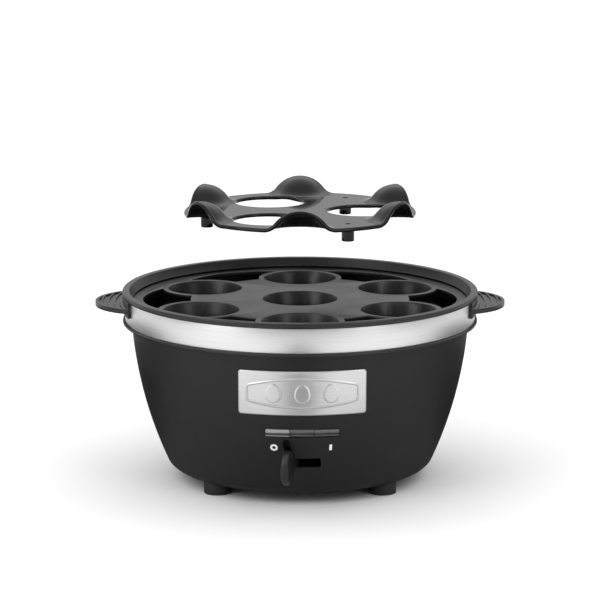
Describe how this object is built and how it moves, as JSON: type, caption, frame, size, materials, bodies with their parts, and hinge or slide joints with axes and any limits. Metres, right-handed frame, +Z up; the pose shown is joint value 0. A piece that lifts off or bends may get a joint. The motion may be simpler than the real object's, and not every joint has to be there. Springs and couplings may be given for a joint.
{
  "type": "egg cooker",
  "caption": "Round electric egg steamer: black bowl base with a steel band and lever switch, a lower egg tray with handles and an arched upper egg tray.",
  "frame": {"origin": "on the standing surface, under the middle of the body", "axes": "+Z up through the middle of the body, the switch and front plate face -Y, the handles lie along X"},
  "size_m": [0.1858, 0.1611, 0.1295],
  "materials": {
    "body_plastic": "fine-grained matte black moulding",
    "collar_plastic": "satin black moulding",
    "band_steel": "brushed round the band",
    "dish_coating": "grey release coating on aluminium",
    "seal_silicone": "satin red silicone",
    "element_sheath": "heat-tinted steel sheath",
    "ceramic": "glazed ceramic",
    "shield_sheet": "mill-finish sheet",
    "fastener_steel": "zinc plated",
    "thermostat_case": "phenolic with a metal cap",
    "cover_plastic": "matte black moulding",
    "foot_rubber": "soft black rubber",
    "plate_steel": "brushed along the plate, embossed frame",
    "clear_lens": "clear polycarbonate, segmented",
    "lamp_resin": "clear lamp resin",
    "board_laminate": "green solder mask",
    "mark_white": "white inlay",
    "bracket_plastic": "dark grey moulding",
    "slider_plastic": "natural nylon",
    "lever_plastic": "satin black moulding",
    "gland_rubber": "black rubber",
    "wire_brown": "insulated wire",
    "wire_blue": "insulated wire",
    "wire_grey": "insulated wire",
    "tray_plastic": "satin black moulding",
    "upper_plastic": "polished black moulding"
  },
  "bodies": {
    "base": {"base_shell": "body_plastic", "collar_ring": "collar_plastic", "steel_band": "band_steel", "heating_dish": "dish_coating", "dish_seal": "seal_silicone", "heating_element": "element_sheath", "element_terminals": "ceramic", "heat_shield": "shield_sheet", "dish_studs": "fastener_steel", "stud_nuts": "fastener_steel", "thermostat": "thermostat_case", "thermostat_clip": "shield_sheet", "thermal_fuse": "ceramic", "base_cover": "cover_plastic", "cover_screws": "fastener_steel", "rubber_feet": "foot_rubber", "nameplate": "plate_steel", "light_lens": "clear_lens", "indicator_lamp": "lamp_resin", "circuit_board": "board_laminate", "board_screws": "fastener_steel", "buzzer": "cover_plastic", "switch_marks": "mark_white", "switch_bracket": "bracket_plastic", "bracket_screws": "fastener_steel", "switch_body": "cover_plastic", "lever_pin": "fastener_steel", "terminal_block": "slider_plastic", "cord_gland": "gland_rubber", "cord_clamp": "slider_plastic", "live_wire": "wire_brown", "neutral_wire": "wire_blue", "switch_wire": "wire_grey"},
    "lower_tray": {"tray_rim": "tray_plastic", "tray_handles": "tray_plastic", "seat_plate": "tray_plastic"},
    "upper_tray": {"upper_tray": "upper_plastic"},
    "lever": {"switch_lever": "lever_plastic"},
    "slider": {"switch_slider": "slider_plastic"}
  },
  "joints": [
    {"name": "lower_tray_lift", "type": "slide", "parent": "base", "child": "lower_tray", "axis": [0, 0, 1], "range_m": [0, 0.1]},
    {"name": "upper_tray_lift", "type": "slide", "parent": "lower_tray", "child": "upper_tray", "axis": [0, 0, 1], "range_m": [-0.0326, 0.06]},
    {"name": "lever_turn", "type": "hinge", "parent": "base", "child": "lever", "pos_m": [0.001, -0.04976, 0.021], "axis": [0, 0, 1], "range_deg": [0, 30]},
    {"name": "slider_travel", "type": "slide", "parent": "base", "child": "slider", "axis": [1, 0, 0], "range_m": [-0.0042, 0]}
  ],
  "couplings": [
    {"joint": "slider_travel", "follows": "lever_turn", "m_per_rad": -0.0079}
  ]
}
